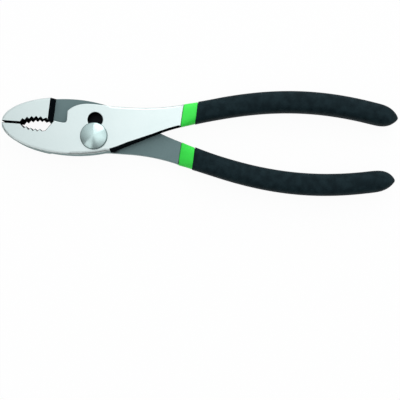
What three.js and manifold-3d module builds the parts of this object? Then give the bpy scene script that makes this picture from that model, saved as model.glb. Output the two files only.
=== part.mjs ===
// Slip-joint pliers, 200 mm long, lying flat on a bench with the jaws towards -X.
// Two forged halves of one outline lap over each other, one turned over onto the other, and turn on
// a domed bolt. The bolt passes a round hole in the rear half and a slot of two joined holes in the
// front half, which gives the jaws a narrow and a wide setting. The handles are dipped twice: a
// green coat that shows as a collar, and a black coat over it.
// Millimetres, +Z up. The origin is on the bolt's axis at the level of the bench.
import * as THREE from "three";
import { mergeVertices } from "three/addons/utils/BufferGeometryUtils.js";
import Module from "manifold-3d";

// Head: x runs from the bolt's axis towards the handles, w is the distance from the tool's axis.
const headLength = 46.8;
const headHalfWidth = 14.6;
const headWidestX = -12;
const noseHalfHeight = 2.2;
const waistHalfWidth = 11.5;
const waistX = 17;
const headFade = 7.8; // reach of the poles that ease the head's edge into the handle
const jawThickness = 10;
const lapGap = 0.2;
const edgeRound = 1.2;
const axisAboveBolt = 4.3;

// Bite: a flat tip, then a toothed hollow for pipes and rods.
const tipFlatLength = 9.3;
const tipGap = 0.9;
const hollowRadius = 17.8;
const hollowDepth = 3.68;
const hollowFromStep = 6.9;
const toothPitch = 2.28;
const toothDepth = 1.15;

// Step from the full jaw down to the lapped plate, and the wire notch between it and the boss.
const stepX = -22;
const stepRun = 2;
const notchWidth = 7.7;
const notchFloor = 1.5;
const notchFillet = 1.6;
const humpHeight = 2.2;
const humpFromStep = 1.4;
const humpRun = 4;
const shoulderTop = 7.5;
const bossTop = 11.9;
const bossTopX = -3;
const bossLead = 7.5; // reach of the pole that rounds the boss from its shoulder to its top
const bossEndX = 6;

// Handle of each half, from the crossing to the collar.
const crossingX = 14;
const crossingW = -9.2;
const crossingSlope = 0.487;
const crossingLength = 16;
const steelWidth = 11.1;

// Pivot bolt, slot and nut.
const holeDiameter = 7.7;
const slipPitch = 8.3;
const neckWidth = 5.3;
const slotClearance = 0.2;
const pivotClearance = 0.15;
const headDiameter = 13.7;
const headRim = 0.7;
const headDome = 2.1;
const headSeat = 0.1;
const threadDiameter = 6;
const threadClearance = 0.15;
const nutAcrossFlats = 10;
const nutHeight = 2.45;
const nutClearance = 0.4;
const tailProud = 0.25;
const tailChamfer = 0.5;

// Dipped grips.
const gripWidth = 11.2;
const gripThickness = 11;
const collarWidth = 12.4;
const collarX = 43.6;
const collarOffset = 9.35;
const collarSlope = 0.32;
const collarLength = 7;
const collarWall = 0.5;
const collarLip = 0.25;
const coverWall = 1;
const linerWall = 0.6;
const coatGap = 0.15;
const flareLength = 16.4;
const handleEnd = 153.4;
const endOffset = 14.8;
const endSlope = -0.25;
const endRound = 14;
const tipShift = 1.2; // how far the blunt point of the end lies outward of the bow's line
const bowReach = 40;

// Fineness of the curves.
const curveSteps = 8;
const roundSteps = 48;
const ringSides = 16;
const bevelSteps = 3;
const bowSpans = 8;
const flareShares = [0.3, 0.6, 1];
const endTurns = [0.25, 0.45, 0.6, 0.75, 0.92];
const sectionPower = 2.6;
const endPower = 3.65;
const clear = 20; // how far a cutting shape runs past what it cuts

const halfJaw = jawThickness / 2;
const midPlane = gripThickness / 2;
const lapFace = lapGap / 2;
const plateThickness = halfJaw - lapFace;
const coverX = collarX + collarLength;
const steelEnd = collarX - coatGap * 2;

const wasm = await Module();
wasm.setup();

// A closed geometry as a solid that can be joined and cut.
function solid(geometry) {
  geometry.deleteAttribute("normal");
  geometry.deleteAttribute("uv");
  const merged = mergeVertices(geometry, 1e-4);
  const vertProperties = merged.attributes.position.array;
  const triVerts = new Uint32Array(merged.index.array);
  return new wasm.Manifold(new wasm.Mesh({ numProp: 3, vertProperties, triVerts }));
}

function geometryOf(made) {
  const { vertProperties, triVerts } = made.getMesh();
  const geometry = new THREE.BufferGeometry();
  geometry.setAttribute("position", new THREE.BufferAttribute(vertProperties, 3));
  geometry.setIndex(new THREE.BufferAttribute(triVerts, 1));
  geometry.computeVertexNormals();
  return geometry;
}

function prism(shape, low, high) {
  const options = { depth: high - low, bevelEnabled: false, curveSegments: curveSteps };
  return solid(new THREE.ExtrudeGeometry(shape, options).translate(0, 0, low));
}

// A solid of revolution about Z from a profile of [radius, height] pairs.
function turned(profile) {
  const points = profile.map(([radius, height]) => new THREE.Vector2(radius, height));
  return solid(new THREE.LatheGeometry(points, roundSteps).rotateX(Math.PI / 2));
}

// Outer edges of one half, as the smooth outline whose rounded rim trims the forging.
function forgingOutline() {
  const halfSteel = steelWidth / 2;
  const inner = collarOffset - halfSteel;
  const outer = collarOffset + halfSteel;
  const straightX = crossingX + crossingLength;
  const straightW = crossingW + crossingLength * crossingSlope;
  const bendX = (inner - straightW + crossingSlope * straightX - collarSlope * collarX) /
    (crossingSlope - collarSlope);
  const bendW = straightW + crossingSlope * (bendX - straightX);
  const noseAngle = Math.asin(noseHalfHeight / headHalfWidth);
  const ellipseLength = (headLength + headWidestX) / Math.cos(noseAngle);
  const shape = new THREE.Shape();
  shape.moveTo(-headLength, headHalfWidth + clear);
  shape.lineTo(-headLength, -noseHalfHeight);
  shape.absellipse(headWidestX, 0, ellipseLength, headHalfWidth,
    Math.PI + noseAngle, Math.PI * 1.5, false, 0);
  shape.bezierCurveTo(headWidestX + headFade, -headHalfWidth,
    crossingX - headFade, crossingW - headFade * crossingSlope, crossingX, crossingW);
  shape.lineTo(straightX, straightW);
  shape.quadraticCurveTo(bendX, bendW, collarX, inner);
  shape.lineTo(collarX + clear, inner + clear * collarSlope);
  shape.lineTo(collarX + clear, outer + clear * collarSlope);
  shape.lineTo(collarX, outer);
  shape.quadraticCurveTo((collarX + waistX) / 2, waistHalfWidth, waistX, waistHalfWidth);
  shape.lineTo(bossEndX, waistHalfWidth);
  shape.quadraticCurveTo((bossEndX + bossTopX) / 2, waistHalfWidth, headWidestX, headHalfWidth + clear);
  return shape;
}

// Depth of the toothed hollow below the bite line, at its valleys.
function hollowAt(x) {
  return hollowDepth - (x - (stepX - hollowFromStep)) ** 2 / (2 * hollowRadius);
}

// The bite from the nose to the last tooth before the step; the two jaws' teeth are half a pitch apart.
function biteOutline(phase) {
  const hollowX = tipFlatLength - headLength;
  const points = [[-headLength - clear, -tipGap / 2], [hollowX, -tipGap / 2]];
  const teeth = Math.round((stepX - stepRun - hollowX) / toothPitch - phase);
  for (let k = teeth - 1; k >= 0; k--) {
    const valley = stepX - stepRun - (k + phase) * toothPitch - toothPitch / 2;
    const tip = valley + toothPitch / 2;
    points.push([valley, -hollowAt(valley)], [tip, toothDepth - hollowAt(tip)]);
  }
  return points;
}

// Plan of the lapped plate: bite, hump and wire notch, boss, and handle up to the collar. The hump's
// flank takes the place of the last tooth.
function platePlan(phase) {
  const shape = new THREE.Shape();
  const humpX = stepX + humpFromStep;
  const flankX = humpX - humpRun;
  const shoulderX = stepX + notchWidth;
  const filletX = shoulderX - notchFillet;
  const [start, ...bite] = biteOutline(phase);
  shape.moveTo(...start);
  for (const [x, w] of bite) if (x < flankX - toothPitch / 4) shape.lineTo(x, w);
  shape.lineTo(flankX, -hollowAt(flankX));
  shape.lineTo(humpX, humpHeight);
  shape.quadraticCurveTo((humpX + filletX) / 2, notchFloor, filletX, notchFloor);
  shape.quadraticCurveTo(shoulderX, notchFloor, shoulderX, notchFloor + notchFillet);
  shape.lineTo(shoulderX, shoulderTop);
  shape.quadraticCurveTo(bossTopX - bossLead, bossTop, bossTopX, bossTop);
  shape.quadraticCurveTo((bossTopX + bossEndX) / 2, bossTop, bossEndX, waistHalfWidth);
  shape.lineTo(waistX, waistHalfWidth + clear / 2);
  shape.lineTo(steelEnd, waistHalfWidth + clear);
  shape.lineTo(steelEnd, -headHalfWidth - clear);
  shape.lineTo(-headLength - clear, -headHalfWidth - clear);
  return shape;
}

// Plan of the full-thickness jaw, cut off past the step.
function jawPlan(phase) {
  const shape = new THREE.Shape();
  const [start, ...bite] = biteOutline(phase);
  shape.moveTo(...start);
  bite.forEach((point) => shape.lineTo(...point));
  shape.lineTo(stepX + stepRun, toothDepth - hollowAt(stepX - stepRun));
  shape.lineTo(stepX + stepRun, -headHalfWidth - clear);
  shape.lineTo(-headLength - clear, -headHalfWidth - clear);
  return shape;
}

// Everything on the jaw's side of the sloped step, drawn in x and z and run across the head.
function jawSide() {
  const shape = new THREE.Shape();
  const slope = stepRun / halfJaw;
  shape.moveTo(-headLength - clear, -halfJaw - clear);
  shape.lineTo(stepX - stepRun - clear * slope, -halfJaw - clear);
  shape.lineTo(stepX, 0);
  shape.lineTo(stepX, halfJaw + clear);
  shape.lineTo(-headLength - clear, halfJaw + clear);
  const reach = headHalfWidth + clear;
  const options = { depth: reach * 2, bevelEnabled: false };
  const geometry = new THREE.ExtrudeGeometry(shape, options);
  return solid(geometry.rotateX(Math.PI / 2).translate(0, reach, 0));
}

// Line of the grip's middle from the collar to the handle's end, with its slope carried by two poles.
const bow = new THREE.CubicBezierCurve(
  new THREE.Vector2(collarX, collarOffset),
  new THREE.Vector2(collarX + bowReach, collarOffset + bowReach * collarSlope),
  new THREE.Vector2(handleEnd - bowReach, endOffset - bowReach * endSlope),
  new THREE.Vector2(handleEnd, endOffset),
);

function bowAt(x) {
  if (x < collarX) return collarOffset + (x - collarX) * collarSlope;
  let low = 0;
  let high = 1;
  while (high - low > 1e-6) {
    const middle = (low + high) / 2;
    if (bow.getPoint(middle).x < x) low = middle;
    else high = middle;
  }
  return bow.getPoint(low).y;
}

// One ring of a coat or of the steel core: a rounded section across the handle at x, inset from the
// grip's outside. It leaves the half's own lap layer at the collar and is central past the flare.
function ring(x, inset, end) {
  const flare = Math.min(Math.max((x - collarX) / flareLength, 0), 1);
  const central = 1 - (1 - flare) ** 2;
  const mouthHalf = plateThickness / 2 + collarLip * 2;
  const lift = (1 - central) * (lapFace + plateThickness / 2);
  const halfHeight = mouthHalf + central * (gripThickness / 2 - mouthHalf) - inset;
  const halfWidth = (collarWidth + central * (gripWidth - collarWidth)) / 2 - inset;
  const past = Math.max(0, (x - end + endRound) / endRound);
  const taper = Math.max(1 - past ** endPower, 0);
  const middle = bowAt(x) + tipShift * past ** 2;
  const flat = Math.cos(Math.PI / ringSides) ** (2 / sectionPower);
  const bend = (value) => (Math.sign(value) * Math.abs(value) ** (2 / sectionPower)) / flat;
  return Array.from({ length: ringSides }, (unused, side) => {
    const angle = ((side + 0.5) / ringSides) * Math.PI * 2;
    const w = middle + bend(Math.cos(angle)) * halfWidth * taper;
    return new THREE.Vector3(x, w, lift + bend(Math.sin(angle)) * halfHeight * taper);
  });
}

// Stations along a coat from its mouth to the start of its pointed end, then on to its tip.
function stations(mouth, end) {
  const flareEnd = collarX + flareLength;
  const straight = end - endRound;
  const along = [mouth];
  for (const share of flareShares) {
    const x = collarX + share * flareLength;
    if (x > mouth + coatGap) along.push(x);
  }
  for (let k = 1; k <= bowSpans; k++) along.push(flareEnd + ((straight - flareEnd) * k) / bowSpans);
  for (const turn of endTurns) along.push(straight + endRound * Math.sin((turn * Math.PI) / 2));
  return along;
}

// A closed skin through rings, with each end closed onto its own middle.
function loft(rings) {
  const middle = (points) => points.reduce((sum, p) => sum.add(p), new THREE.Vector3())
    .divideScalar(points.length);
  const first = rings[0];
  const last = rings[rings.length - 1];
  const points = [...rings.flat(), middle(first), middle(last)];
  const index = [];
  const firstMiddle = points.length - 2;
  const lastMiddle = points.length - 1;
  for (let side = 0; side < ringSides; side++) {
    const next = (side + 1) % ringSides;
    for (let row = 0; row < rings.length - 1; row++) {
      const near = row * ringSides;
      const far = near + ringSides;
      index.push(near + side, near + next, far + next, near + side, far + next, far + side);
    }
    const end = (rings.length - 1) * ringSides;
    index.push(firstMiddle, next, side, lastMiddle, end + side, end + next);
  }
  const geometry = new THREE.BufferGeometry().setFromPoints(points);
  geometry.setIndex(index);
  return solid(geometry);
}

// How far the steel core lies under the grip's outside: less at the collar's mouth than under both coats.
const coreInset = coverWall + linerWall + coatGap * 2;
const mouthInset = collarLip + collarWall + coatGap;

function coreInsetAt(x) {
  const share = Math.min(Math.max((x - collarX) / collarLength, 0), 1);
  return mouthInset + (coreInset - mouthInset) * share;
}

function handleCore() {
  const end = handleEnd - coreInset;
  const root = collarX - collarLength / 2;
  const along = [root, collarX, ...stations(coverX, end)];
  return loft(along.map((x) => ring(x, coreInsetAt(x), end)));
}

// The green coat: thick and nearly flush at the collar, thin under the black coat.
function gripLiner() {
  const outerEnd = handleEnd - coverWall - coatGap;
  const innerEnd = outerEnd - linerWall;
  const under = coverWall + coatGap;
  const outside = [
    ring(collarX, collarLip, outerEnd),
    ring(coverX, collarLip, outerEnd),
    ...stations(coverX, outerEnd).map((x) => ring(x, under, outerEnd)),
  ];
  const inside = [collarX, ...stations(coverX, innerEnd)].map((x) =>
    ring(x, coreInsetAt(x) - coatGap, innerEnd));
  return loft([...inside.reverse(), ...outside]);
}

// The black coat, open at the collar and closed round the handle's end.
function gripCover() {
  const mouth = coverX + coatGap;
  const innerEnd = handleEnd - coverWall;
  const outside = stations(mouth, handleEnd).map((x) => ring(x, 0, handleEnd));
  const inside = stations(mouth, innerEnd).map((x) => ring(x, coverWall, innerEnd));
  return loft([...inside.reverse(), ...outside]);
}

// One forged half, with its jaw below the tool's axis and its handle above, before its pivot is cut.
function forging(phase) {
  const rim = new THREE.ExtrudeGeometry(forgingOutline(), {
    depth: jawThickness - edgeRound * 2,
    bevelThickness: edgeRound,
    bevelSize: edgeRound,
    bevelOffset: -edgeRound,
    bevelSegments: bevelSteps,
    curveSegments: curveSteps,
  });
  const trim = solid(rim.translate(0, 0, edgeRound - halfJaw));
  const plate = prism(platePlan(phase), lapFace, halfJaw + clear);
  const jaw = prism(jawPlan(phase), -halfJaw - clear, halfJaw + clear).intersect(jawSide());
  return plate.add(jaw).intersect(trim).add(handleCore());
}

// Two joined holes through the front half: narrow setting below, wide setting above.
function slipSlot() {
  const low = -axisAboveBolt;
  const high = low + slipPitch;
  const radius = holeDiameter / 2;
  const side = Math.acos(neckWidth / holeDiameter);
  const shape = new THREE.Shape();
  shape.absarc(0, low, radius, Math.PI - side, Math.PI * 2 + side, false);
  shape.absarc(0, high, radius, -side, Math.PI + side, false);
  return prism(shape, -clear, clear);
}

const shankRadius = holeDiameter / 2 - slotClearance;
const nutCorner = nutAcrossFlats / 2 / Math.cos(Math.PI / 6);
const rearFace = midPlane - halfJaw;
const nutSeat = tailProud + nutHeight;
const recessFloor = nutSeat + headSeat;

// Pivot hole of the rear half, with the recess that holds the nut at its outer face.
function pivotHole() {
  const bore = shankRadius + pivotClearance;
  const recess = nutCorner + nutClearance;
  const floor = midPlane - recessFloor;
  return turned([[0, -clear], [bore, -clear], [bore, floor], [recess, floor], [recess, clear],
    [0, clear]]).translate([0, axisAboveBolt, 0]);
}

// Bolt: domed head, shank with two flats where it stands in the slot's neck, threaded tail.
function pivotBolt() {
  const headLow = midPlane + halfJaw + headSeat;
  const rimTop = headLow + headRim;
  const radius = headDiameter / 2;
  const ball = (radius ** 2 + headDome ** 2) / (2 * headDome);
  const sweep = Math.asin(radius / ball);
  const dome = Array.from({ length: curveSteps + 1 }, (unused, k) => {
    const angle = sweep * (1 - k / curveSteps);
    return [ball * Math.sin(angle), rimTop + headDome - ball * (1 - Math.cos(angle))];
  });
  dome[curveSteps][0] = 0;
  const thread = threadDiameter / 2;
  const body = turned([[0, 0], [thread - tailChamfer, 0], [thread, tailChamfer], [thread, nutSeat],
    [shankRadius, recessFloor], [shankRadius, headLow], [radius, headLow], ...dome]);
  const flat = neckWidth / 2 - slotClearance;
  const height = headLow - midPlane + lapFace;
  const beside = new THREE.BoxGeometry(clear, clear, height);
  beside.translate(flat + clear / 2, 0, midPlane - lapFace + height / 2);
  const cut = solid(beside);
  return body.subtract(cut).subtract(cut.mirror([1, 0, 0]));
}

// Low hexagon nut with its corners turned down.
function pivotNut() {
  const shape = new THREE.Shape();
  for (let corner = 0; corner < 6; corner++) {
    const angle = (corner * Math.PI) / 3;
    shape.lineTo(nutCorner * Math.cos(angle), nutCorner * Math.sin(angle));
  }
  const chamfer = nutCorner - nutAcrossFlats / 2;
  const blank = turned([[0, tailProud], [nutCorner - chamfer, tailProud],
    [nutCorner, tailProud + chamfer], [nutCorner, nutSeat], [0, nutSeat]]);
  const bore = threadDiameter / 2 + threadClearance;
  const hole = turned([[0, -clear], [bore, -clear], [bore, clear], [0, clear]]);
  return prism(shape, tailProud, nutSeat).intersect(blank).subtract(hole);
}

function steel(color, roughness) {
  return new THREE.MeshStandardMaterial({ color, roughness, metalness: 1 });
}

function vinyl(color, roughness) {
  return new THREE.MeshStandardMaterial({ color, roughness, metalness: 0 });
}

function piece(name, made, material) {
  const mesh = new THREE.Mesh(geometryOf(made), material);
  mesh.name = name;
  return mesh;
}

const frontHalf = new THREE.Group();
frontHalf.position.set(0, axisAboveBolt, midPlane);
frontHalf.add(
  piece("front_lever", forging(0.5).subtract(slipSlot()), steel(0xdfe9e8, 0.35)),
  piece("front_grip_liner", gripLiner(), vinyl(0x2fd44c, 0.5)),
  piece("front_grip_cover", gripCover(), vinyl(0x20282c, 0.55)),
);

const rearHalf = new THREE.Group();
rearHalf.position.set(0, axisAboveBolt, midPlane);
rearHalf.rotation.x = Math.PI;
rearHalf.add(
  piece("rear_lever", forging(0).subtract(pivotHole()), steel(0xd3dddc, 0.38)),
  piece("rear_grip_liner", gripLiner(), vinyl(0x2fd44c, 0.5)),
  piece("rear_grip_cover", gripCover(), vinyl(0x20282c, 0.55)),
);

const pivot = new THREE.Group();
pivot.add(
  piece("pivot_bolt", pivotBolt(), steel(0xd8dede, 0.3)),
  piece("pivot_nut", pivotNut(), steel(0xaab2b2, 0.4)),
);

const pliers = new THREE.Group();
pliers.add(frontHalf, rearHalf, pivot);

export default pliers;
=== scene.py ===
import math

import bmesh
import bpy
import numpy as np
from mathutils import Matrix, Vector
from mathutils.geometry import delaunay_2d_cdt


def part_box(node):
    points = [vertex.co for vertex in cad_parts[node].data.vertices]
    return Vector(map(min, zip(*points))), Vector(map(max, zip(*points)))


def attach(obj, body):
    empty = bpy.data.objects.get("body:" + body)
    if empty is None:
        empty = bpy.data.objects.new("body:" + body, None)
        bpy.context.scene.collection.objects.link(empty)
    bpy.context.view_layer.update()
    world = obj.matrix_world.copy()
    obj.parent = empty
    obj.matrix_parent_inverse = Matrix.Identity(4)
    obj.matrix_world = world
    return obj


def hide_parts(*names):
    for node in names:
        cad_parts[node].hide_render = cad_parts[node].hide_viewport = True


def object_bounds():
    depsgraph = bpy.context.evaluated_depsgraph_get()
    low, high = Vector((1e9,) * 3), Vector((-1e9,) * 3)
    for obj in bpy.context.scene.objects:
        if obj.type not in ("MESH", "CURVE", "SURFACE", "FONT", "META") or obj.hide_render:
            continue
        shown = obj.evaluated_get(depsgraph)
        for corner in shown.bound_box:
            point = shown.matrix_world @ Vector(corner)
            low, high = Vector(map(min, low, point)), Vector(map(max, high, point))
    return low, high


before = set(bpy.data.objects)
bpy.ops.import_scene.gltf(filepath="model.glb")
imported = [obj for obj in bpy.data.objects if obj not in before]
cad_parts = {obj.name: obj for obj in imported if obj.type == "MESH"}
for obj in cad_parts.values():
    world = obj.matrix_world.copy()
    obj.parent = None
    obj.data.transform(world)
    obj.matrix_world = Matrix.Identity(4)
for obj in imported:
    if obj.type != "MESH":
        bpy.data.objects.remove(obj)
cad_low, cad_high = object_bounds()

MM = 0.001


# View and light. The tool lies flat on a white table in a pale room, under a large soft box with two
# smaller ones behind it and in front of it. The camera looks down on it from a little in front.
camera_place = Vector((56.0, -54.8, 380.9)) * MM
camera_aim = Vector((55.4, -28.2, 5.5)) * MM
tool_turn = math.radians(3.88)
lens_length = 66.89

camera = bpy.data.objects.new("camera", bpy.data.cameras.new("camera"))
camera.data.lens = lens_length
camera.data.clip_start = 10 * MM
back = (camera_place - camera_aim).normalized()
right = Vector((-math.sin(tool_turn), math.cos(tool_turn), 0)).cross(back).normalized()
turned_axes = Matrix((right, back.cross(right), back)).transposed().to_4x4()
camera.matrix_world = Matrix.Translation(camera_place) @ turned_axes
bpy.context.scene.collection.objects.link(camera)
bpy.context.scene.camera = camera
bpy.context.scene.view_settings.view_transform = "Standard"


def node(tree, kind, inputs=None, **settings):
    """A new node with its settings; inputs maps a socket's name or number to a value or an output."""
    made = tree.nodes.new(kind)
    for key, setting in settings.items():
        setattr(made, key, setting)
    for key, given in (inputs or {}).items():
        if isinstance(given, Field):
            given = given.socket
        if isinstance(given, bpy.types.NodeSocket):
            tree.links.new(given, made.inputs[key])
        else:
            made.inputs[key].default_value = given
    return made


class Field:
    """A number in a node tree, written into formulas as a plain number is."""

    def __init__(self, tree, socket):
        self.tree = tree
        self.socket = socket

    def math(self, operation, *others, clamp=False):
        given = dict(enumerate((self, *others)))
        made = node(self.tree, "ShaderNodeMath", given, operation=operation, use_clamp=clamp)
        return Field(self.tree, made.outputs[0])

    def __add__(self, other):
        return self.math("ADD", other)

    def __sub__(self, other):
        return self.math("SUBTRACT", other)

    def __rsub__(self, other):
        return self * -1 + other

    def __mul__(self, other):
        return self.math("MULTIPLY", other)

    def __truediv__(self, other):
        return self.math("DIVIDE", other)

    def __pow__(self, power):
        return self.math("POWER", power)

    def share(self, low, high):
        """How far the number has come from low to high, kept between 0 and 1."""
        return ((self - low) / (high - low)).math("ADD", 0, clamp=True)

    __radd__ = __add__
    __rmul__ = __mul__


def new_material(name):
    """A material with a bare Principled BSDF on its output."""
    material = bpy.data.materials.new(name)
    material.use_nodes = True
    return material, material.node_tree, material.node_tree.nodes["Principled BSDF"]


def new_object(name, data):
    made = bpy.data.objects.new(name, data)
    bpy.context.scene.collection.objects.link(made)
    return made


def table_top():
    """A white sheet that shows white to the camera and in the steel, with a faint shadow on it."""
    reach = 3.0
    sheet_gap = 0.05 * MM
    paper = (0.93, 0.93, 0.93, 1)
    white_share = 0.95
    level = cad_low.z - sheet_gap
    square = ((-1, -1), (1, -1), (1, 1), (-1, 1))
    mesh = bpy.data.meshes.new("table_top")
    mesh.from_pydata([(reach * x, reach * y, level) for x, y in square], [], [(0, 1, 2, 3)])
    material, tree, shader = new_material("white_table")
    shader.inputs["Base Color"].default_value = paper
    shader.inputs["Roughness"].default_value = 0.9
    shader.inputs["Specular IOR Level"].default_value = 0.0
    rays = node(tree, "ShaderNodeLightPath").outputs
    seen = sum(Field(tree, rays[f"Is {kind} Ray"]) for kind in ("Camera", "Glossy", "Transmission"))
    white = node(tree, "ShaderNodeEmission", {"Color": (1, 1, 1, 1), "Strength": 1.0})
    mixed = node(tree, "ShaderNodeMixShader", {
        0: seen.math("MINIMUM", 1) * white_share, 1: shader.outputs[0], 2: white.outputs[0]})
    tree.links.new(mixed.outputs[0], tree.nodes["Material Output"].inputs["Surface"])
    mesh.materials.append(material)
    return new_object("table_top", mesh)


table_top()


def soft_box(name, place, width, depth, power):
    """A rectangular lamp that faces the tool."""
    lamp = bpy.data.lights.new(name, "AREA")
    lamp.shape = "RECTANGLE"
    lamp.size = width
    lamp.size_y = depth
    lamp.energy = power
    made = new_object(name, lamp)
    made.location = place
    made.rotation_euler = ((cad_low + cad_high) / 2 - Vector(place)).to_track_quat("-Z", "Y").to_euler()


soft_box("overhead_box", place=(0.28, 0.14, 0.80), width=1.0, depth=0.8, power=1.4)
soft_box("back_box", place=(0.20, 0.75, 0.45), width=0.7, depth=0.5, power=2.4)
soft_box("front_box", place=(-0.38, -0.50, 0.55), width=0.5, depth=0.5, power=0.8)


def pale_room():
    """Walls that light the tool from overhead and behind and are dim in front of it and to its left. They
    show white to the camera."""
    dim, pale = 0.10, 0.90
    dim_until, pale_from = -0.3, 0.7
    towards_light = Vector((0.3, 0.75, 0.6)).normalized()
    room = bpy.data.worlds.new("room")
    room.use_nodes = True
    tree = room.node_tree
    outwards = node(tree, "ShaderNodeTexCoord").outputs["Generated"]
    facing = node(tree, "ShaderNodeVectorMath", {0: outwards, 1: towards_light}, operation="DOT_PRODUCT")
    lit = Field(tree, facing.outputs["Value"]).share(dim_until, pale_from)
    walls = tree.nodes["Background"]
    walls.inputs["Color"].default_value = (0.96, 0.99, 1.0, 1)
    tree.links.new((lit * (pale - dim) + dim).socket, walls.inputs["Strength"])
    white = node(tree, "ShaderNodeBackground", {"Color": (1, 1, 1, 1), "Strength": 1.0})
    seen = node(tree, "ShaderNodeLightPath").outputs["Is Camera Ray"]
    mixed = node(tree, "ShaderNodeMixShader", {0: seen, 1: walls.outputs[0], 2: white.outputs[0]})
    tree.links.new(mixed.outputs[0], tree.nodes["World Output"].inputs["Surface"])
    return room


bpy.context.scene.world = pale_room()


# Forged halves: two steel levers of one outline, drop forged, the rear one turned over onto the front.
# Their outsides are ground and plated, and their satin sides are painted darker as the shade they reflect
# near the table; the lapped faces are dark and matt, and the bite, the step, the holes and the inner edges
# of the handles keep the black of the forge, which is painted there as their shade too. A tang runs down
# each handle in its coats.
lever_low, lever_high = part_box("front_lever")
head_length = -lever_low.x
half_jaw = (lever_high.z - lever_low.z) / 2
mid_plane = (lever_high.z + lever_low.z) / 2
tool_axis = (cad_low.y + cad_high.y) / 2
head_half_width = 14.6 * MM
head_widest_x = -12 * MM
nose_half_height = 2.2 * MM
head_fade = 7.8 * MM
waist_half_width = 11.5 * MM
waist_x = 17 * MM
lap_face = 0.1 * MM

tip_flat_length = 9.3 * MM
tip_gap = 0.9 * MM
hollow_radius = 17.8 * MM
hollow_depth = 3.68 * MM
hollow_from_step = 6.9 * MM
tooth_pitch = 2.28 * MM
tooth_depth = 1.15 * MM

step_x = -22 * MM
step_run = 2 * MM
step_lean = 0.045
notch_width = 7.7 * MM
notch_floor = 1.5 * MM
notch_fillet = 1.6 * MM
hump_height = 2.2 * MM
hump_from_step = 1.4 * MM
hump_run = 4 * MM
flank_x = step_x + hump_from_step - hump_run
shoulder_top = 7.5 * MM
boss_top = 11.9 * MM
boss_top_x = -3 * MM
boss_lead = 7.5 * MM
boss_end_x = 6 * MM

crossing = np.array((14, -9.2)) * MM
crossing_slope = 0.487
crossing_length = 16 * MM
steel_width = 11.1 * MM
collar_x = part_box("front_grip_liner")[0].x
collar_offset = 9.35 * MM
collar_slope = 0.32
collar_lean = 0.08  # the dip line leans towards the handle's end on the upper side of the picture
steel_end = collar_x - 0.1 * MM

edge_round = 1.2 * MM
end_round = 0.3 * MM
fine_edge = 0.3 * MM
bite_edge = 0.22 * MM
belly_edge = 1.9 * MM
crossing_edge = 1.4 * MM
inner_edge = 0.55 * MM
lap_edge = 0.15 * MM
round_steps = 5
edge_fade = 0.6  # how fast a round edge may widen along the outline
slow_fade = 0.06  # the same where it is black
# The dull part of a rounded edge takes the sides' satin finish, painted darker as shade.
steep_share = 0.25  # how much of a rounded edge is dull like the wall below it

hole_radius = 3.85 * MM
slip_pitch = 8.3 * MM
neck_width = 5.3 * MM
bore_radius = 3.8 * MM
recess_radius = 6.17 * MM
recess_floor = 2.7 * MM

# The second finish is the satin side, painted darker as the shade it reflects; the fourth is forge black,
# painted also as the shade on the bite, the step, the holes and the handles' inner edges.
GROUND, SATIN_SHADED, LAP, FORGED_AND_SHADED = range(4)


def curve(steps, *poles):
    """Points of the Bezier curve on these poles, without its last point."""
    share = (np.arange(steps) / steps)[:, None]
    layer = [np.tile(np.array(pole, float), (steps, 1)) for pole in poles]
    while len(layer) > 1:
        layer = [near + (far - near) * share for near, far in zip(layer, layer[1:])]
    return layer[0]


def arc(steps, centre, reach, start, end):
    """Points of an ellipse's arc, without its last point."""
    angle = start + (end - start) * np.arange(steps) / steps
    return np.array(centre) + np.stack([np.cos(angle), np.sin(angle)], 1) * np.array(reach)


def hollow_at(x):
    """How deep the hollow between the jaws is cut into one of them."""
    return hollow_depth - (x - (step_x - hollow_from_step)) ** 2 / (2 * hollow_radius)


foot_w = tooth_depth - hollow_at(step_x - step_run)


def bite_points(phase):
    """Valleys and tips of the teeth from the hump's flank back to the flat tip."""
    hollow_x = tip_flat_length - head_length
    teeth = round((step_x - step_run - hollow_x) / tooth_pitch - phase)
    points = []
    for tooth in range(teeth):
        tip = step_x - step_run - (tooth + phase) * tooth_pitch
        valley = tip - tooth_pitch / 2
        points += [(tip, tooth_depth - hollow_at(tip)), (valley, -hollow_at(valley))]
    return [point for point in points if point[0] < flank_x - tooth_pitch / 4]


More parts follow.
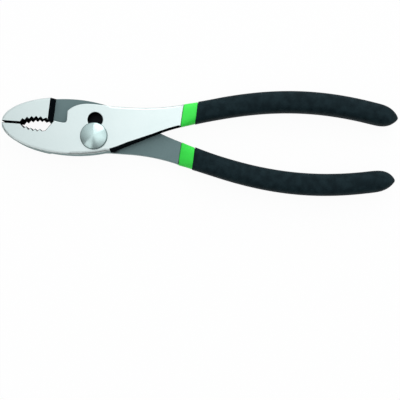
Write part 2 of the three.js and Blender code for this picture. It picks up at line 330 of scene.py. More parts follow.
def outline_runs(phase, lean):
    """The plan of one half, counter-clockwise from its nose: the points of each run, the radius of its
    rounded edge, and the finish of its wall and of that edge."""
    inner = (steel_end - lean * steel_width / 2, collar_offset - steel_width / 2)
    outer = (steel_end + lean * steel_width / 2, collar_offset + steel_width / 2)
    straight = crossing + crossing_length * np.array((1, crossing_slope))
    bend_x = (inner[1] - straight[1] + crossing_slope * straight[0] - collar_slope * inner[0]) / (
        crossing_slope - collar_slope)
    bend = (bend_x, straight[1] + crossing_slope * (bend_x - straight[0]))
    nose_angle = math.asin(nose_half_height / head_half_width)
    ellipse = ((head_length + head_widest_x) / math.cos(nose_angle), head_half_width)
    belly = (head_widest_x, -head_half_width)
    waist = (waist_x, waist_half_width)
    boss_end = (boss_end_x, waist_half_width)
    boss_peak = (boss_top_x, boss_top)
    shoulder_x = step_x + notch_width
    fillet_x = shoulder_x - notch_fillet
    hump = (step_x + hump_from_step, hump_height)
    flank = (flank_x, -hollow_at(flank_x))
    bite = [flank, *bite_points(phase), (tip_flat_length - head_length, -tip_gap / 2)]
    nose_top = (-head_length, -tip_gap / 2)
    nose_low = (-head_length, -nose_half_height)
    fade = np.array((head_fade, head_fade * crossing_slope))
    fading_points, bright_points = 28, 22
    belly_lead = (head_widest_x + head_fade, -head_half_width)
    fading = curve(fading_points, belly, belly_lead, crossing - fade, crossing)
    shoulder = (shoulder_x, shoulder_top)
    notch_side = (shoulder_x, notch_floor + notch_fillet)
    notch_end = (fillet_x, notch_floor)
    # Black runs: forge black along the bite and the handles' inner edges, painted there as their shade too.
    bright, dull, black = (SATIN_SHADED, GROUND), (FORGED_AND_SHADED, GROUND), (FORGED_AND_SHADED, FORGED_AND_SHADED)
    return [
        (curve(5, nose_top, nose_low), edge_round, bright),
        (arc(44, (head_widest_x, 0), ellipse, math.pi + nose_angle, math.pi * 1.5), edge_round, bright),
        (fading[:bright_points], belly_edge, bright),
        (fading[bright_points:], crossing_edge, black),
        (curve(14, crossing, straight), crossing_edge, black),
        (curve(14, straight, bend, inner), inner_edge, black),
        (curve(8, inner, outer), end_round, dull),
        (curve(24, outer, ((collar_x + waist_x) / 2, waist_half_width), waist), edge_round, bright),
        (curve(10, waist, boss_end), edge_round, bright),
        (curve(12, boss_end, ((boss_top_x + boss_end_x) / 2, boss_top), boss_peak), fine_edge, bright),
        (curve(16, boss_peak, (boss_top_x - boss_lead, boss_top), shoulder), fine_edge, dull),
        (curve(6, shoulder, notch_side), fine_edge, dull),
        (curve(8, notch_side, (shoulder_x, notch_floor), notch_end), fine_edge, dull),
        (curve(8, notch_end, ((hump[0] + fillet_x) / 2, notch_floor), hump), fine_edge, dull),
        (curve(6, hump, flank), bite_edge, black),
        *[(curve(3, near, far), bite_edge, black) for near, far in zip(bite, bite[1:])],
        (curve(8, bite[-1], nose_top), bite_edge, black),
    ]


def joined_runs(runs):
    """One loop of points, with the edge radius at each point and the finishes after it."""
    points = np.concatenate([run[0] for run in runs])
    finishes = np.concatenate([np.tile(run[2], (len(run[0]), 1)) for run in runs])
    after = np.concatenate([np.full(len(run[0]), run[1]) for run in runs])
    radius = np.minimum(after, np.roll(after, 1))
    slow = (finishes[:, 1] == FORGED_AND_SHADED) & (after > bite_edge)
    widen = np.linalg.norm(points - np.roll(points, 1, 0), axis=1) * np.where(slow, slow_fade, edge_fade)
    for _ in range(2):  # twice round, so that the loop's start is passed
        for i in range(len(points)):
            radius[i] = min(radius[i], radius[i - 1] + widen[i])
        for i in reversed(range(len(points))):
            radius[i - 1] = min(radius[i - 1], radius[i] + widen[i])
    return points, radius, finishes


def inset(loop, depth):
    """A loop moved to its left by the depth given at each point."""
    ahead = np.roll(loop, -1, 0) - loop
    ahead /= np.linalg.norm(ahead, axis=1)[:, None]
    left = np.stack([-ahead[:, 1], ahead[:, 0]], 1)
    behind = np.roll(left, 1, 0)
    corner = (left + behind) / (1 + (left * behind).sum(1))[:, None]
    return loop + corner * np.asarray(depth)[:, None]


def edge_rings(loop, radius):
    """The loop and the rings inside it that carry its rounded edge."""
    turns = [math.pi / 2 * k / round_steps for k in range(round_steps + 1)]
    rings = [inset(loop, radius * (1 - math.cos(turn))) for turn in turns]
    return [loop, *rings[1:], inset(loop, radius + fine_edge / 2)]


def inside(points, loop):
    """Which points lie inside a closed loop."""
    ends = np.roll(loop, -1, 0)
    x, w = points[:, :1], points[:, 1:]
    spans = (loop[:, 1] > w) != (ends[:, 1] > w)
    rise = np.where(spans, ends[:, 1] - loop[:, 1], 1)
    crossed = loop[:, 0] + (w - loop[:, 1]) * (ends[:, 0] - loop[:, 0]) / rise
    return (spans & (x < crossed)).sum(1) % 2 == 1


def nearest_edge(points, loop, radius):
    """How far each point is from a loop, with the loop's edge radius and part there."""
    span = np.roll(loop, -1, 0) - loop
    share = ((points[:, None] - loop) * span).sum(2) / (span ** 2).sum(1)
    share = np.clip(share, 0, 1)
    gap = np.linalg.norm(points[:, None] - loop - share[:, :, None] * span, axis=2)
    part = gap.argmin(1)
    row = np.arange(len(points))
    there = radius[part] + (np.roll(radius, -1)[part] - radius[part]) * share[row, part]
    return gap[row, part], there, part


def rounded(distance, radius):
    """How far a rounded edge lies below its face at a distance from the edge."""
    left = np.clip(radius - distance, 0, radius)
    return radius - np.sqrt(radius ** 2 - left ** 2)


def slip_slot():
    """The two joined holes of the front half, clockwise, so that their rings run into the steel."""
    side = math.acos(neck_width / 2 / hole_radius)
    low = -tool_axis
    reach = (hole_radius, hole_radius)
    lower = arc(40, (0, low), reach, math.pi - side, math.pi * 2 + side)
    upper = arc(40, (0, low + slip_pitch), reach, -side, math.pi + side)
    return np.concatenate([lower, upper])[::-1]


def round_hole(radius):
    """A hole on the bolt's axis in the rear half, clockwise, in the plan before it is turned over."""
    return arc(64, (0, tool_axis), (radius, radius), 0, -math.pi * 2)


def beyond_step(plan):
    """How far points lie past the top of the leaning step, towards the handle."""
    return plan[:, 0] + step_lean * plan[:, 1] - step_x


def cut_plan(rings):
    """The plan cut into triangles along the rings, and along the step's top, its foot and its end."""
    def step_point(run, w):
        return step_x - run - step_lean * w, w

    below = -head_half_width - fine_edge
    marks = [
        (step_point(0, below), step_point(0, foot_w)),
        (step_point(step_run, below), step_point(step_run, hump_height)),
        (step_point(0, foot_w), (flank_x, foot_w)),
    ]
    points = np.concatenate([*rings, *[np.array(mark) for mark in marks]])
    edges = []
    start = 0
    for ring in rings:
        count = len(ring)
        edges += [(start + i, start + (i + 1) % count) for i in range(count)]
        start += count
    edges += [(start + 2 * i, start + 2 * i + 1) for i in range(len(marks))]
    keep_all, same_point = 0, 1e-9
    cut = delaunay_2d_cdt([Vector(point) for point in points], edges, [], keep_all, same_point)
    return np.array([tuple(point) for point in cut[0]]), np.array(cut[2])


def level_heights(plan, outline, radius, rims):
    """The height of each level over the points of the plan, and how worn the outer face is there."""
    gap, edge, _ = nearest_edge(plan, outline, radius)
    edge_fall = rounded(gap, edge)
    fall = edge_fall
    for loop, rim in rims:
        fall = np.maximum(fall, rounded(nearest_edge(plan, loop, rim)[0], fine_edge))
    beyond = beyond_step(plan)
    past_step = np.clip(beyond / edge_round, 0, 1)
    lap_fall = rounded(np.minimum(gap, nearest_edge(plan, *rims[0])[0]), lap_edge)
    slope = lap_face - (lap_face + half_jaw) * np.clip(-beyond / step_run, 0, 1)
    heights = {
        "face": half_jaw - fall,
        "recess": np.full(len(plan), recess_floor),
        "lap": lap_face + lap_fall * past_step,
        "jaw": np.maximum(edge_fall - half_jaw, slope),
    }
    return heights, np.clip(fall / fine_edge, 0, 1)


def outward_mesh(made, name):
    """A plain mesh of what was made, with its faces turned outwards."""
    bmesh.ops.recalc_face_normals(made, faces=made.faces)
    mesh = bpy.data.meshes.new(name)
    made.to_mesh(mesh)
    made.free()
    return mesh


class LeverSkin:
    """A mesh whose corners stand over the points of a plan, at the heights of its levels. Faces and walls
    that meet share their corners."""

    height_digits = 5  # how finely heights in millimetres are told apart

    def __init__(self, plan, heights, wear):
        self.plan = plan
        self.heights = heights
        self.wear = wear
        self.made = bmesh.new()
        self.worn = self.made.verts.layers.float.new("edge")
        self.corners = {}

    def corner(self, index, level):
        """The height of a level over a point, with a corner there."""
        height = round(self.heights[level][index] / MM, self.height_digits)
        column = self.corners.setdefault(index, {})
        if height not in column:
            column[height] = self.made.verts.new((*self.plan[index], height * MM))
            column[height][self.worn] = self.wear[index]
        return height

    def face(self, places, finish_index):
        ring = []
        for index, height in places:
            if self.corners[index][height] not in ring:
                ring.append(self.corners[index][height])
        if len(ring) > 2 and self.made.faces.get(ring) is None:
            self.made.faces.new(ring).material_index = int(finish_index)

    def level_face(self, triangle, level, finish_index):
        self.face([(index, self.corner(index, level)) for index in triangle], finish_index)

    def wall(self, near, far, high, low, finish_index):
        """A wall between two levels, with every corner that its ends share with other walls."""
        ring = []
        for index, downwards in ((near, True), (far, False)):
            ends = sorted((self.corner(index, high), self.corner(index, low)))
            column = sorted(z for z in self.corners[index] if ends[0] <= z <= ends[1])
            ring += [(index, z) for z in (column[::-1] if downwards else column)]
        self.face(ring, finish_index)


def lever_mesh(name, phase, lean, through, recess=None):
    """One forged half as a closed mesh: its plan is cut into triangles between the rings of its rounded
    edges and lifted to the outer face, the lap face, the jaw's back and the sloped step."""
    outline, radius, finishes = joined_runs(outline_runs(phase, lean))
    holes = [through] if recess is None else [through, recess]
    rims = [(hole, np.full(len(hole), fine_edge)) for hole in holes]
    plan, triangles = cut_plan([ring for loop in ((outline, radius), *rims) for ring in edge_rings(*loop)])
    centres = plan[triangles].mean(1)
    kept = inside(centres, outline) & ~inside(centres, through)
    triangles, centres = triangles[kept], centres[kept]

    past = beyond_step(centres)
    in_jaw = (past < 0) & ~((centres[:, 0] > flank_x) & (centres[:, 1] > foot_w))
    in_recess = np.zeros(len(centres), bool) if recess is None else inside(centres, recess)
    tops = np.where(in_recess, "recess", "face")
    bottoms = np.where(in_jaw, "jaw", "lap")
    skin = LeverSkin(plan, *level_heights(plan, outline, radius, rims))
    sides = {}
    for triangle, top, bottom in zip(triangles, tops, bottoms):
        for level in (top, bottom):
            for index in triangle:
                skin.corner(index, level)
        for near, far in zip(triangle, np.roll(triangle, -1)):
            sides.setdefault((min(near, far), max(near, far)), []).append((top, bottom))

    gap, edge, part = nearest_edge(centres, outline, radius)
    # Black edges take forge black as painted shade too; steep parts of satin edges take the darker painted
    # shade of the sides.
    on_black = (finishes[part, 1] == FORGED_AND_SHADED) & (gap < edge)
    on_side = (finishes[part, 0] == SATIN_SHADED) & (gap < edge * steep_share)
    on_slope = in_jaw & (past > -step_run)
    outside = np.where(on_black, FORGED_AND_SHADED, np.where(on_side, SATIN_SHADED, GROUND))
    top_finish = np.where(in_recess, FORGED_AND_SHADED, outside)
    bottom_finish = np.where(in_jaw, np.where(on_slope, FORGED_AND_SHADED, outside), LAP)
    for row, triangle in enumerate(triangles):
        skin.level_face(triangle, tops[row], top_finish[row])
        skin.level_face(triangle[::-1], bottoms[row], bottom_finish[row])

    # Hole, step and recess walls are forge black, painted as the shade inside them too.
    for (near, far), levels in sides.items():
        if len(levels) == 1:
            middle = (plan[near] + plan[far])[None] / 2
            distance, _, part = nearest_edge(middle, outline, radius)
            skin.wall(near, far, *levels[0], finishes[part[0], 0] if distance[0] < lap_edge else FORGED_AND_SHADED)
        else:
            (top, bottom), (other_top, other_bottom) = levels
            if top != other_top:
                skin.wall(near, far, "face", "recess", FORGED_AND_SHADED)
            if bottom != other_bottom:
                skin.wall(near, far, "lap", "jaw", FORGED_AND_SHADED)
    return outward_mesh(skin.made, name)


def plain_mesh(maker, name):
    """The mesh that an object's modifiers make; the object itself is removed."""
    graph = bpy.context.evaluated_depsgraph_get()
    mesh = bpy.data.meshes.new_from_object(maker.evaluated_get(graph), depsgraph=graph)
    mesh.name = name
    bpy.data.objects.remove(maker)
    return mesh


bow_reach = 40 * MM
handle_end = 153.4 * MM
end_offset = 14.8 * MM
end_slope = -0.25
handle_sizes = {
    "Tool Axis": tool_axis,
    "Mid Plane": mid_plane,
    "Collar X": collar_x,
    "Flare": 16.4 * MM,
    "Near Half Height": 2.95 * MM,
    "Near Lift": 2.55 * MM,
    "Half Height": 5.5 * MM,
    "Collar Half Width": 6.2 * MM,
    "Half Width": 5.6 * MM,
    "Cover X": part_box("front_grip_cover")[0].x,
    "Inset Run": 0.05 * MM,
    "Round": 14 * MM,
    "Tip Out": 1.2 * MM,
    "Lean Run": 12 * MM,
}
coat_sizes = ("Mouth", "Lip", "End", "Mouth Inset", "Inset", "Side", "Lean", "Cap")
section_power = 2.6
end_power = 3.65
tip_reach = 0.965  # where the blunt tip cuts the point off short


def handle_skin():
    """The skin of a handle at a given depth under the grip's outside, open at its mouth and bluntly pointed
    at its end. Rows run along the bowed handle, closer at the lip, the flare and the point."""
    rows_along, rows_round = 200, 65
    lip_rows, flare_rows, body_rows = 0.04, 0.34, 0.78  # the share of the rows at which each stretch ends
    bow_tries = 4
    weld = 0.002 * MM
    tree = bpy.data.node_groups.new("handle_skin", "GeometryNodeTree")
    for name in (*handle_sizes, *coat_sizes):
        tree.interface.new_socket(name, in_out="INPUT", socket_type="NodeSocketFloat")
    tree.interface.new_socket("Material", in_out="INPUT", socket_type="NodeSocketMaterial")
    tree.interface.new_socket("Geometry", in_out="OUTPUT", socket_type="NodeSocketGeometry")
    given = node(tree, "NodeGroupInput").outputs
    size = {name: Field(tree, given[name]) for name in (*handle_sizes, *coat_sizes)}
    grid = node(tree, "GeometryNodeMeshGrid", {
        "Size X": 1.0, "Size Y": 1.0, "Vertices X": rows_along, "Vertices Y": rows_round})
    position = node(tree, "GeometryNodeInputPosition").outputs[0]
    place = node(tree, "ShaderNodeSeparateXYZ", {0: position}).outputs
    along = Field(tree, place["X"]) + 0.5
    angle = Field(tree, place["Y"]) * (-2 * math.pi)

    quarter = math.pi / 2
    lip = along.share(0, lip_rows) * quarter
    flare = along.share(lip_rows, flare_rows)
    body = along.share(flare_rows, body_rows)
    past = (along.share(body_rows, 1) * quarter).math("SINE")
    flare_end = size["Collar X"] + size["Flare"]
    x = size["Mouth"] + size["Lip"] * (1 - lip.math("COSINE"))
    x = x + (flare_end - size["Mouth"] - size["Lip"]) * flare
    x = x + (size["End"] - size["Round"] - flare_end) * body + size["Round"] * past
    blunt = 1 - tip_reach ** end_power
    point = 1 - (past * tip_reach) ** end_power
    taper = ((point ** 2 - blunt ** 2).math("MAXIMUM", 0) / (1 - blunt ** 2)) ** 0.5

    span = handle_end - collar_x
    near_w = collar_offset + bow_reach * collar_slope
    far_w = end_offset - bow_reach * end_slope
    bow_x = (collar_x, collar_x + bow_reach, handle_end - bow_reach, handle_end)
    bow_w = (collar_offset, near_w, far_w, end_offset)

    def bow_at(part, poles):
        left = 1 - part
        return (poles[0] * left ** 3 + 3 * poles[1] * part * left ** 2
                + 3 * poles[2] * part ** 2 * left + poles[3] * part ** 3)

    part = (x - collar_x) / span
    for _ in range(bow_tries):
        part = part - (bow_at(part, bow_x) - x) / span
    w = bow_at(part, bow_w) + size["Tip Out"] * past ** 2

    central = 1 - (1 - x.share(size["Collar X"], flare_end)) ** 2
    under = x.share(size["Cover X"] - size["Inset Run"], size["Cover X"])
    depth = size["Mouth Inset"] + (size["Inset"] - size["Mouth Inset"]) * under
    depth = depth + size["Lip"] * (1 - lip.math("SINE"))
    lift = (1 - central) * size["Near Lift"]

    def flared(near, far):
        return size[near] + central * (size[far] - size[near]) - depth

    def bent(value):
        return value.math("SIGN") * value.math("ABSOLUTE") ** (2 / section_power)

    first_row = along.math("LESS_THAN", 0.5 / rows_along)
    open_here = taper * (1 - size["Cap"] * first_row)
    across = bent(angle.math("COSINE")) * flared("Collar Half Width", "Half Width") * open_here
    above = bent(angle.math("SINE")) * flared("Near Half Height", "Half Height") * open_here
    lean_run = x.share(size["Mouth"], size["Mouth"] + size["Lean Run"])
    skin = node(tree, "ShaderNodeCombineXYZ", {
        0: x + size["Lean"] * across * (1 - lean_run),
        1: size["Tool Axis"] + size["Side"] * (w + across),
        2: size["Mid Plane"] + size["Side"] * (lift + above),
    })
    moved = node(tree, "GeometryNodeSetPosition", {
        "Geometry": grid.outputs["Mesh"], "Position": skin.outputs[0]})
    closed = node(tree, "GeometryNodeMergeByDistance", {"Geometry": moved.outputs[0], "Distance": weld})
    smooth = node(tree, "GeometryNodeSetShadeSmooth", {"Geometry": closed.outputs[0]})
    whole = node(tree, "GeometryNodeRealizeInstances", {"Geometry": smooth.outputs[0]})
    dressed = node(tree, "GeometryNodeSetMaterial", {
        "Geometry": whole.outputs[0], "Material": given["Material"]})
    node(tree, "NodeGroupOutput", {"Geometry": dressed.outputs[0]})
    return tree


handle_tree = handle_skin()


def handle_mesh(name, material, wall=0.0, **sizes):
    """One coat or tang: the handle's skin with the sizes given, and a wall inside it. Other sizes are 0."""
    maker = new_object(name, bpy.data.meshes.new(name))
    skin = maker.modifiers.new("skin", "NODES")
    skin.node_group = handle_tree
    own_sizes = {key.replace("_", " ").title(): value for key, value in sizes.items()}
    values = {**handle_sizes, **own_sizes, "Material": material}
    for socket in handle_tree.interface.items_tree:
        if socket.in_out == "INPUT":
            skin[socket.identifier] = values.get(socket.name, 0.0)
    if wall:
        shell = maker.modifiers.new("wall", "SOLIDIFY")
        shell.thickness = wall
        shell.offset = -1
    return plain_mesh(maker, name)


def shader_group(name, inputs, output, kind):
    """An empty shader group: its tree, its input sockets, and a call that sets what it puts out."""
    tree = bpy.data.node_groups.new(name, "ShaderNodeTree")
    for socket_name, value in inputs.items():
        socket_kind = "NodeSocketColor" if isinstance(value, tuple) else "NodeSocketFloat"
        socket = tree.interface.new_socket(socket_name, in_out="INPUT", socket_type=socket_kind)
        socket.default_value = value
    tree.interface.new_socket(output, in_out="OUTPUT", socket_type=kind)
    given = node(tree, "NodeGroupInput").outputs
    leave = node(tree, "NodeGroupOutput").inputs[output]
    return tree, given, lambda socket: tree.links.new(socket, leave)


def own_place(tree):
    """A piece's own coordinates, which move with it."""
    return node(tree, "ShaderNodeTexCoord").outputs["Object"]


def fine_grain():
    """The fine relief of a ground, blasted or dipped surface, drawn out along the tool by Stretch."""
    inputs = {"Scale": 1000.0, "Stretch": 1.0}
    tree, given, put_out = shader_group("fine_grain", inputs, "Height", "NodeSocketFloat")
    along = node(tree, "ShaderNodeCombineXYZ", {0: Field(tree, given["Stretch"]) ** -1, 1: 1.0, 2: 1.0})
    drawn = node(tree, "ShaderNodeVectorMath", {0: own_place(tree), 1: along.outputs[0]},
                 operation="MULTIPLY")
    relief = node(tree, "ShaderNodeTexNoise", {
        "Vector": drawn.outputs[0], "Scale": given["Scale"], "Detail": 3.0, "Roughness": 0.6})
    put_out(relief.outputs["Fac"])
    return tree


def edge_wear():
    """Where a raised edge has been rubbed: the edge attribute of the mesh, broken up by noise."""
    inputs = {"Scale": 300.0, "Amount": 0.5}
    whole_below, rubbed_above = 0.35, 0.6
    tree, given, put_out = shader_group("edge_wear", inputs, "Mask", "NodeSocketFloat")
    edge = node(tree, "ShaderNodeAttribute", attribute_name="edge").outputs["Fac"]
    patches = node(tree, "ShaderNodeTexNoise", {
        "Vector": own_place(tree), "Scale": given["Scale"], "Detail": 2.0})
    broken = Field(tree, patches.outputs["Fac"]).share(whole_below, rubbed_above)
    put_out((Field(tree, edge) * broken * Field(tree, given["Amount"])).socket)
    return tree


def mixed_colour(tree, mask, under, over):
    """One colour laid over another as far as a mask says."""
    return node(tree, "ShaderNodeMix", {"Factor": mask, 6: under, 7: over}, data_type="RGBA").outputs[2]


def cloud_tint():
    """A colour that drifts to a second one in soft clouds."""
    inputs = {"Color": (0.5, 0.5, 0.5, 1), "Shade": (0.4, 0.4, 0.4, 1), "Scale": 60.0}
    clear_below, shaded_above = 0.35, 0.65
    tree, given, put_out = shader_group("cloud_tint", inputs, "Color", "NodeSocketColor")
    clouds = node(tree, "ShaderNodeTexNoise", {
        "Vector": own_place(tree), "Scale": given["Scale"], "Detail": 4.0})
    shaded = Field(tree, clouds.outputs["Fac"]).share(clear_below, shaded_above)
    put_out(mixed_colour(tree, shaded, given["Color"], given["Shade"]))
    return tree


def bolt_reach():
    """How far the surface lies from the bolt's axis."""
    tree, _, put_out = shader_group("bolt_reach", {}, "Reach", "NodeSocketFloat")
    plan = node(tree, "ShaderNodeVectorMath", {0: own_place(tree), 1: (1, 1, 0)}, operation="MULTIPLY")
    put_out(node(tree, "ShaderNodeVectorMath", {0: plan.outputs[0]}, operation="LENGTH").outputs["Value"])
    return tree


grain_tree, wear_tree, tint_tree, reach_tree = fine_grain(), edge_wear(), cloud_tint(), bolt_reach()


def paint_over(material, mask, colour):
    """Lays a colour over a material's own one, as far as the mask says."""
    tree = material.node_tree
    base = tree.nodes["Principled BSDF"].inputs["Base Color"]
    tree.links.new(mixed_colour(tree, mask, base.links[0].from_socket, (*colour, 1)), base)


def finish(name, colour, shade, rough, grain, relief, stretch=1.0, metal=1.0, gloss=0.5, clouds=60.0):
    """A material whose colour drifts to a shade in clouds of a scale, with the fine relief of its grain."""
    rough_play = 0.2
    material, tree, shader = new_material(name)
    tint = node(tree, "ShaderNodeGroup", {"Color": (*colour, 1), "Shade": (*shade, 1), "Scale": clouds},
                node_tree=tint_tree)
    grit = node(tree, "ShaderNodeGroup", {"Scale": grain, "Stretch": stretch}, node_tree=grain_tree)
    height = grit.outputs["Height"]
    bump = node(tree, "ShaderNodeBump", {"Strength": 1.0, "Distance": relief, "Height": height})
    roughness = Field(tree, height) * rough_play + (rough - rough_play / 2)
    tree.links.new(tint.outputs["Color"], shader.inputs["Base Color"])
    tree.links.new(roughness.socket, shader.inputs["Roughness"])
    tree.links.new(bump.outputs["Normal"], shader.inputs["Normal"])
    shader.inputs["Metallic"].default_value = metal
    shader.inputs["Specular IOR Level"].default_value = gloss
    return material


def ground_face():
    """The ground and plated outside, rubbed bright along its edges."""
    rubbed_share = 0.35
    rubbed_steel = (0.90, 0.95, 0.94)
    material = finish("ground_face", (0.71, 0.795, 0.79), (0.685, 0.775, 0.77), rough=0.36, grain=2600.0,
                      relief=0.004 * MM, stretch=3.0)
    wear = node(material.node_tree, "ShaderNodeGroup", {"Amount": rubbed_share}, node_tree=wear_tree)
    paint_over(material, wear.outputs["Mask"], rubbed_steel)
    return material


def lap_with_painted_shade():
    """The dark matt lap face, painted black close to the bolt as the shade in the hole above it."""
    shade_reach, unshaded_reach = 12.4 * MM, 14.6 * MM
    painted_hole_shade = (0.012, 0.013, 0.015)
    material = finish("lap_face", (0.165, 0.235, 0.240), (0.150, 0.215, 0.220), rough=0.55, grain=1700.0,
                      relief=0.008 * MM)
    tree = material.node_tree
    reach = node(tree, "ShaderNodeGroup", node_tree=reach_tree).outputs["Reach"]
    # Paints black shade on the lap face close to the bolt.
    paint_over(material, Field(tree, reach).share(unshaded_reach, shade_reach), painted_hole_shade)
    return material


# The sides' satin, painted darker as the shade they reflect from the table beside them.
satin_side_and_shade = finish("satin_side_and_shade", (0.21, 0.31, 0.31), (0.18, 0.275, 0.275), rough=0.55, grain=1800.0,
                    relief=0.006 * MM, stretch=2.0, metal=0.25, gloss=0.2)
# Forge black, which also serves as painted shade on the steel.
forge_black_and_shade = finish("forge_black_and_shade", (0.004, 0.006, 0.008), (0.003, 0.005, 0.006), rough=0.6, grain=1500.0,
                     relief=0.02 * MM, metal=0.0, gloss=0.0)
steel_finishes = {GROUND: ground_face(), SATIN_SHADED: satin_side_and_shade, LAP: lap_with_painted_shade(), FORGED_AND_SHADED: forge_black_and_shade}


def tang_mesh(name, side):
    """The bare steel of the handle inside its coats, from within the waist to short of the grip's end."""
    root_overlap = 3.5 * MM
    root_inset = 0.9 * MM
    under_coats = 1.9 * MM
    return handle_mesh(name, forge_black_and_shade, mouth=collar_x - root_overlap, end=handle_end - under_coats,
                       mouth_inset=root_inset, inset=under_coats, side=side, cap=1.0)


sharp_edge = math.radians(35)


def smooth_piece(name, mesh, body, cad_node, weighted=False):
    """A finished piece that rides a body and stands for a CAD node, smooth but for its sharp edges."""
    mesh.shade_smooth()
    mesh.set_sharp_from_angle(angle=sharp_edge)
    made = new_object(name, mesh)
    if weighted:
        made.modifiers.new("weighted", "WEIGHTED_NORMAL").keep_sharp = True
    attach(made, body)
    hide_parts(cad_node)


def forged_half(name, lever, body, side, phase, through, recess=None):
    """One half with its tang. Side is 1 for the front half and -1 for the rear one, which is turned over;
    phase shifts its teeth by a share of their pitch."""
    mesh = lever_mesh(name, phase, side * collar_lean, through, recess)
    if side < 0:
        mesh.transform(Matrix.Rotation(math.pi, 4, "X"))
    mesh.transform(Matrix.Translation((0, tool_axis, mid_plane)))
    for index in sorted(steel_finishes):
        mesh.materials.append(steel_finishes[index])
    maker = new_object(name, mesh)
    tang = new_object(f"{name}_tang", tang_mesh(f"{name}_tang", side))
    union = maker.modifiers.new("tang", "BOOLEAN")
    union.operation = "UNION"
    union.solver = "EXACT"
    union.material_mode = "TRANSFER"
    union.object = tang
    joined = plain_mesh(maker, name)
    bpy.data.objects.remove(tang)
    smooth_piece(name, joined, body, lever, weighted=True)


forged_half("front_half_steel", "front_lever", "front_half", side=1, phase=0.5, through=slip_slot())
forged_half("rear_half_steel", "rear_lever", "rear_half", side=-1, phase=0.0,
            through=round_hole(bore_radius), recess=round_hole(recess_radius))


# Pivot bolt: turned from bar, with a satin dome, a shank with two flats where it stands in the slot's
# neck, and a screwed tail for the nut. It holds the halves together, and the rear one turns on it.
bolt_sides = 128
head_radius = 6.85 * MM
head_gap = 0.1 * MM
head_low = mid_plane + half_jaw + head_gap
head_rim = 0.7 * MM
head_dome = 2.1 * MM
rim_round = 0.2 * MM
shank_radius = 3.65 * MM
shank_bevel = 0.1 * MM
flat_half = 2.45 * MM
flat_low = mid_plane - lap_face
thread_radius = 3 * MM
thread_pitch = 1 * MM
thread_depth = 0.55 * MM
tail_chamfer = 0.5 * MM
nut_low = 0.25 * MM
nut_high = 2.7 * MM


def ring_mesh(name, rings, looped=False):
    """A skin over rings of points round the Z axis, from the first ring to the last. It closes onto the
    axis at both ends, or onto its first ring where it is looped. Its UV map runs round and along."""
    made = bmesh.new()
    flow = made.loops.layers.uv.new("turning")
    rows = [[made.verts.new(point) for point in ring] for ring in rings]
    sides = len(rings[0])
    pairs = list(zip(rows, rows[1:] + rows[:1])) if looped else list(zip(rows, rows[1:]))
    for row, (near, far) in enumerate(pairs):
        for side in range(sides):
            after = (side + 1) % sides
            face = made.faces.new((near[side], near[after], far[after], far[side]))
            places = ((side, row), (side + 1, row), (side + 1, row + 1), (side, row + 1))
            for loop, (turn, step) in zip(face.loops, places):
                loop[flow].uv = (turn / sides, step / len(pairs))
    if not looped:
        for row, ring in ((0, rows[0]), (len(pairs), rows[-1])):
            pole = made.verts.new((0, 0, ring[0].co.z))
            for side in range(sides):
                near, far = ring[side], ring[(side + 1) % sides]
                face = made.faces.new((far, near, pole) if row == 0 else (near, far, pole))
                turns = {near: side, far: side + 1, pole: side + 0.5}
                for loop in face.loops:
                    loop[flow].uv = (turns[loop.vert] / sides, row / len(pairs))
    return outward_mesh(made, name)


def turned_ring(sides, radius, height):
    """A ring at a height whose radius may change round it."""
    angle = np.arange(sides) * 2 * math.pi / sides
    reach = np.broadcast_to(radius(angle) if callable(radius) else radius, angle.shape)
    return [(r * math.cos(a), r * math.sin(a), height) for r, a in zip(reach, angle)]


def thread_ring(height):
    """A ring of the screw thread, which fades into the tail's chamfer and the shoulder."""
    flank_steepness, crest_share = 2.4, 0.1
    fade = min(1.0, (nut_high - height) / thread_pitch)

    def radius(angle):
        turn = (height / thread_pitch - angle / (2 * math.pi)) % 1
        valley = np.clip(np.abs(turn - 0.5) * flank_steepness - crest_share, 0, 1)
        cut = thread_radius - thread_depth * fade * valley
        return np.minimum(cut, thread_radius - tail_chamfer + height)

    return turned_ring(bolt_sides, radius, height)


def flat_radius(angle):
    """The shank's radius round the bolt where its two flats are cut."""
    return flat_half / np.maximum(np.abs(np.cos(angle)), flat_half / shank_radius)


def bolt_mesh():
    """The bolt from its tail up: thread, shank, flats, the head's rounded rim and its dome."""
    thread_steps, rim_steps, dome_steps = 32, 4, 30
    ball = (head_radius ** 2 + head_dome ** 2) / (2 * head_dome)
    rim_top = head_low + head_rim
    sweep = math.asin((head_radius - rim_round) / ball)
    profile = [(shank_radius, nut_high + shank_bevel), (shank_radius, flat_low), (flat_radius, flat_low),
               (flat_radius, head_low), (head_radius - rim_round, head_low)]
    for step in range(1, rim_steps + 1):
        turn = math.pi / 2 * step / rim_steps
        profile.append((head_radius - rim_round * (1 - math.sin(turn)),
                        head_low + rim_round * (1 - math.cos(turn))))
    profile.append((head_radius, rim_top - rim_round))
    for step in range(dome_steps):
        angle = sweep * (1 - step / dome_steps)
        profile.append((ball * math.sin(angle), rim_top + head_dome - ball * (1 - math.cos(angle))))
    thread = [thread_ring(nut_high * step / thread_steps) for step in range(thread_steps + 1)]
    return ring_mesh("domed_bolt", thread + [turned_ring(bolt_sides, *ring) for ring in profile])


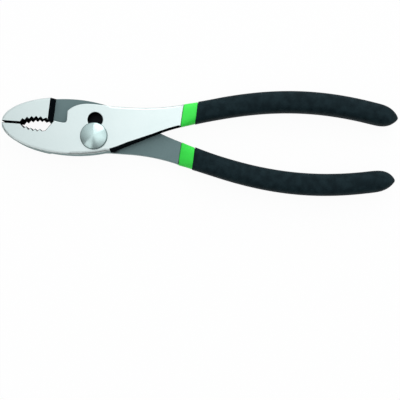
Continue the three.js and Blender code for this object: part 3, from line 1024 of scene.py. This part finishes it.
def turned_steel():
    """Satin steel with the fine rings that the lathe left round the bolt's axis, with shade painted dark
    round its rim.
    """
    rim_start, rim_end = head_radius - 0.55 * MM, head_radius - 0.1 * MM
    painted_rim_shade = (0.13, 0.19, 0.19)
    lathe_marks = 0.003 * MM
    material = finish("turned_steel", (0.58, 0.73, 0.72), (0.55, 0.70, 0.69), rough=0.30, grain=2400.0,
                      relief=0.002 * MM)
    tree = material.node_tree
    shader = tree.nodes["Principled BSDF"]
    reach = node(tree, "ShaderNodeGroup", node_tree=reach_tree).outputs["Reach"]
    # Paints the shade round the edge of the head's rim.
    paint_over(material, Field(tree, reach).share(rim_start, rim_end), painted_rim_shade)
    marks = node(tree, "ShaderNodeTexNoise", {"W": reach, "Scale": 5000.0, "Detail": 2.0},
                 noise_dimensions="1D")
    turned = node(tree, "ShaderNodeBump", {
        "Strength": 1.0, "Distance": lathe_marks, "Height": marks.outputs["Fac"],
        "Normal": shader.inputs["Normal"].links[0].from_socket})
    tree.links.new(turned.outputs["Normal"], shader.inputs["Normal"])
    flow = node(tree, "ShaderNodeTangent", direction_type="UV_MAP", uv_map="turning")
    tree.links.new(flow.outputs[0], shader.inputs["Tangent"])
    shader.inputs["Anisotropic"].default_value = 0.9
    shader.inputs["Anisotropic Rotation"].default_value = 0.25
    return material


bolt = bolt_mesh()
bolt.materials.append(turned_steel())
smooth_piece("domed_bolt", bolt, "pivot", "pivot_bolt")


# Nut: a low hexagon nut of zinc-plated steel, chamfered on its outer face. It is screwed onto the bolt's
# tail in a round recess of the rear half, with the tail standing a little proud of it.
nut_sides = 96
nut_half_flats = 5 * MM
nut_face_radius = 4.8 * MM
nut_bore = 3.15 * MM
bore_chamfer = 0.2 * MM
nut_edge = 0.1 * MM
chamfer_rise = 0.65 * MM
chamfer_angle = math.radians(30)
chamfer_steps = 8


def nut_mesh():
    """The nut from its chamfered outer face up its flats and back down its bore."""
    def hexagon(angle):
        return nut_half_flats / np.cos(angle % (math.pi / 3) - math.pi / 6)

    def chamfered(rise):
        return lambda angle: np.minimum(hexagon(angle), nut_face_radius + rise / math.tan(chamfer_angle))

    rises = [chamfer_rise * step / chamfer_steps for step in range(chamfer_steps + 1)]
    outside = [(chamfered(rise), nut_low + rise) for rise in rises]
    outside += [(hexagon, nut_high - nut_edge), (lambda angle: hexagon(angle) - nut_edge, nut_high)]
    bore = [(nut_bore + bore_chamfer, nut_high), (nut_bore, nut_high - bore_chamfer),
            (nut_bore, nut_low + bore_chamfer), (nut_bore + bore_chamfer, nut_low)]
    return ring_mesh("hex_nut", [turned_ring(nut_sides, *ring) for ring in outside + bore], looped=True)


nut = nut_mesh()
nut.materials.append(finish("zinc_plate", (0.50, 0.53, 0.53), (0.44, 0.47, 0.48), rough=0.42, grain=1500.0,
                            relief=0.006 * MM))
smooth_piece("hex_nut", nut, "pivot", "pivot_nut")


# Green coats: each handle is dipped in green vinyl up to its collar. The collar stays in sight and is
# rounded at its lip; the rest of the coat lies under the black one.
under_cover = 1.15 * MM
green_wall = 0.45 * MM
green_lip = 0.35 * MM
collar_inset = 0.25 * MM
green_vinyl = finish("green_vinyl", (0.050, 0.84, 0.085), (0.042, 0.80, 0.072), rough=0.5, grain=900.0,
                     relief=0.01 * MM, metal=0.0, gloss=0.3)
for half, side in (("front", 1), ("rear", -1)):
    coat = handle_mesh(f"{half}_green_coat", green_vinyl, wall=green_wall, mouth=collar_x, lip=green_lip,
                       end=handle_end - under_cover, mouth_inset=collar_inset, inset=under_cover, side=side,
                       lean=side * collar_lean)
    smooth_piece(f"{half}_green_coat", coat, f"{half}_half", f"{half}_grip_liner")


# Black coats: a second, thicker dip over the green one, from behind the collar to past the handle's
# end, with a soft lip. The vinyl is satin, with the faint orange peel of a dipped skin.
black_wall = 0.95 * MM
black_lip = 0.15 * MM
black_vinyl = finish("black_vinyl", (0.0105, 0.0225, 0.0275), (0.0055, 0.0130, 0.0165), rough=0.6,
                     grain=1100.0, relief=0.02 * MM, metal=0.0, gloss=0.05, clouds=300.0)
for half, side in (("front", 1), ("rear", -1)):
    coat = handle_mesh(f"{half}_black_coat", black_vinyl, wall=black_wall, mouth=handle_sizes["Cover X"],
                       lip=black_lip, end=handle_end, side=side, lean=side * collar_lean)
    smooth_piece(f"{half}_black_coat", coat, f"{half}_half", f"{half}_grip_cover")
